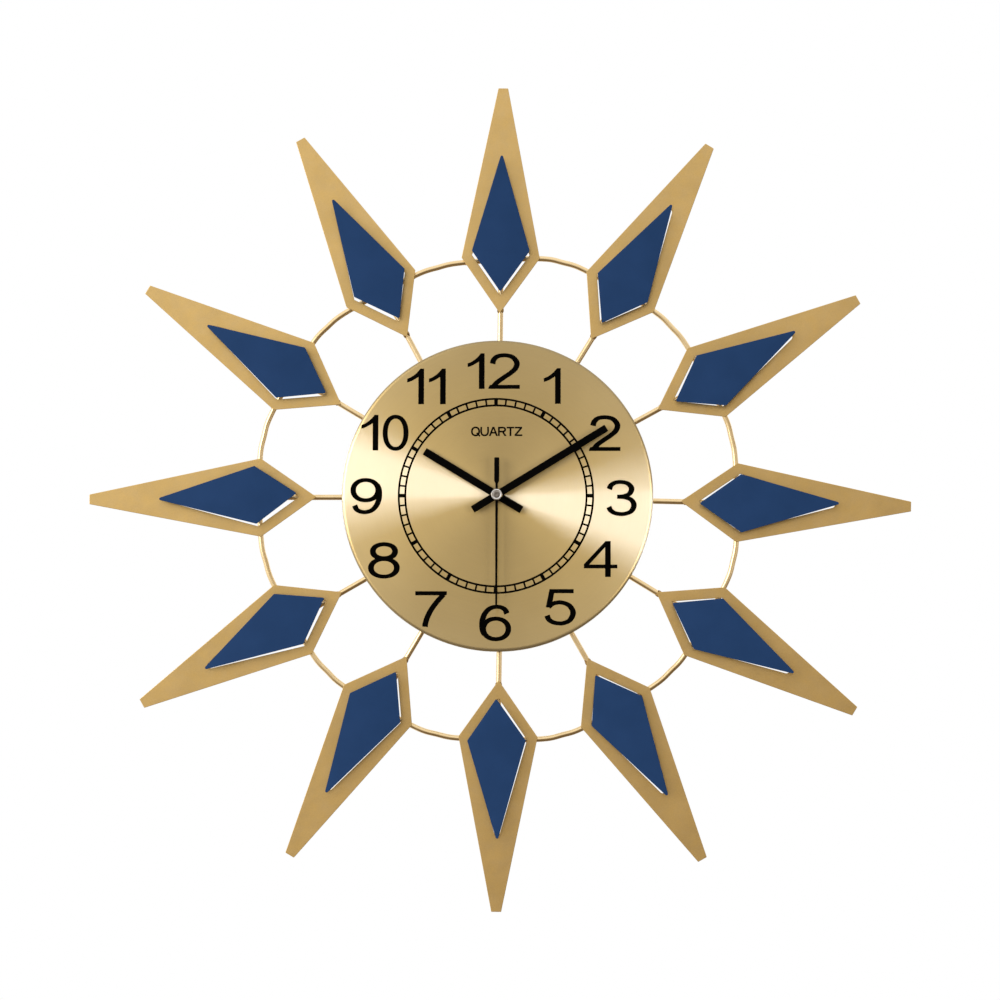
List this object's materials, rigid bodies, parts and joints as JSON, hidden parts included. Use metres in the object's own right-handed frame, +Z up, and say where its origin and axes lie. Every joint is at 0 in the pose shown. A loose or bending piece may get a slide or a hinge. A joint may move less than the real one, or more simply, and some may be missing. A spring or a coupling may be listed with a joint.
{
  "type": "wall clock",
  "caption": "Sunburst wall clock: round brushed gold dial, gold kite rays on thin rods with a ring, raised blue panels, black hands, quartz movement.",
  "frame": {"origin": "on the hand arbor's axis, on the outer face of the movement's rear cover, which is the plane of the wall", "axes": "+Z up as the clock hangs (12 o'clock), +X to the viewer's right (3 o'clock), +Y into the wall, so the dial faces -Y"},
  "size_m": [0.5983, 0.0285, 0.6007],
  "materials": {
    "gold_sheet": "satin, fine grain",
    "gold_rod": "polished",
    "gold_dial": "circular brushed",
    "blue_paint": "matte powder coat",
    "black_hand": "matte",
    "silver": "satin",
    "brass": "turned",
    "rubber": "matte",
    "black_plastic": "moulded, fine texture",
    "white_plastic": "moulded",
    "steel": "plain",
    "copper": "wound wire",
    "board": "solder mask",
    "cell_label": "gloss sleeve"
  },
  "bodies": {
    "clock_body": {"hoop": "gold_rod", "spoke_01": "gold_rod", "spoke_02": "gold_rod", "spoke_03": "gold_rod", "spoke_04": "gold_rod", "spoke_05": "gold_rod", "spoke_06": "gold_rod", "spoke_07": "gold_rod", "spoke_08": "gold_rod", "spoke_09": "gold_rod", "spoke_10": "gold_rod", "spoke_11": "gold_rod", "spoke_12": "gold_rod", "gold_kite_01": "gold_sheet", "gold_kite_02": "gold_sheet", "gold_kite_03": "gold_sheet", "gold_kite_04": "gold_sheet", "gold_kite_05": "gold_sheet", "gold_kite_06": "gold_sheet", "gold_kite_07": "gold_sheet", "gold_kite_08": "gold_sheet", "gold_kite_09": "gold_sheet", "gold_kite_10": "gold_sheet", "gold_kite_11": "gold_sheet", "gold_kite_12": "gold_sheet", "blue_panel_01": "blue_paint", "blue_panel_02": "blue_paint", "blue_panel_03": "blue_paint", "blue_panel_04": "blue_paint", "blue_panel_05": "blue_paint", "blue_panel_06": "blue_paint", "blue_panel_07": "blue_paint", "blue_panel_08": "blue_paint", "blue_panel_09": "blue_paint", "blue_panel_10": "blue_paint", "blue_panel_11": "blue_paint", "blue_panel_12": "blue_paint", "back_plate": "gold_sheet", "dial": "gold_dial", "stem_nut": "brass", "gasket": "rubber", "movement_case": "black_plastic", "rear_cover": "black_plastic", "stator": "steel", "coil": "copper", "circuit_board": "board"},
    "second": {"seconds_wheel": "white_plastic", "second_hand": "black_hand", "second_hand_tube": "silver"},
    "intermediate": {"intermediate_wheel": "white_plastic"},
    "rotor": {"rotor": "steel"},
    "third": {"third_wheel": "white_plastic"},
    "centre": {"centre_wheel": "white_plastic"},
    "minute": {"minute_arbor": "brass", "minute_hand": "black_hand", "minute_nut": "silver"},
    "setting": {"setting_wheel": "white_plastic"},
    "hour": {"hour_wheel": "white_plastic", "hour_hand": "black_hand"},
    "battery": {"battery": "cell_label"}
  },
  "joints": [
    {"name": "second_spin", "type": "hinge", "parent": "clock_body", "child": "second", "pos_m": [0, -0.005, 0], "axis": [0, 1, 0], "continuous": true},
    {"name": "intermediate_spin", "type": "hinge", "parent": "clock_body", "child": "intermediate", "pos_m": [0.01043, -0.005, -0.00055], "axis": [0, 1, 0], "continuous": true},
    {"name": "rotor_spin", "type": "hinge", "parent": "clock_body", "child": "rotor", "pos_m": [0.01354, -0.005, 0.008], "axis": [0, 1, 0], "continuous": true},
    {"name": "third_spin", "type": "hinge", "parent": "clock_body", "child": "third", "pos_m": [-0.00431, -0.005, 0.00924], "axis": [0, 1, 0], "continuous": true},
    {"name": "centre_wheel_spin", "type": "hinge", "parent": "clock_body", "child": "centre", "pos_m": [0, -0.005, 0], "axis": [0, 1, 0], "continuous": true},
    {"name": "minute_spin", "type": "hinge", "parent": "clock_body", "child": "minute", "pos_m": [0, -0.005, 0], "axis": [0, 1, 0], "continuous": true},
    {"name": "setting_spin", "type": "hinge", "parent": "clock_body", "child": "setting", "pos_m": [-0.0108, -0.005, 0], "axis": [0, 1, 0], "continuous": true},
    {"name": "hour_spin", "type": "hinge", "parent": "clock_body", "child": "hour", "pos_m": [0, -0.005, 0], "axis": [0, 1, 0], "continuous": true},
    {"name": "battery_slide", "type": "slide", "parent": "clock_body", "child": "battery", "axis": [0, 1, 0], "range_m": [0, 0.03]}
  ],
  "couplings": [
    {"joint": "intermediate_spin", "follows": "second_spin", "ratio": -5},
    {"joint": "rotor_spin", "follows": "second_spin", "ratio": 30},
    {"joint": "third_spin", "follows": "second_spin", "ratio": -0.13333},
    {"joint": "centre_wheel_spin", "follows": "second_spin", "ratio": 0.016667},
    {"joint": "setting_spin", "follows": "minute_spin", "ratio": -0.33333},
    {"joint": "hour_spin", "follows": "minute_spin", "ratio": 0.083333}
  ]
}
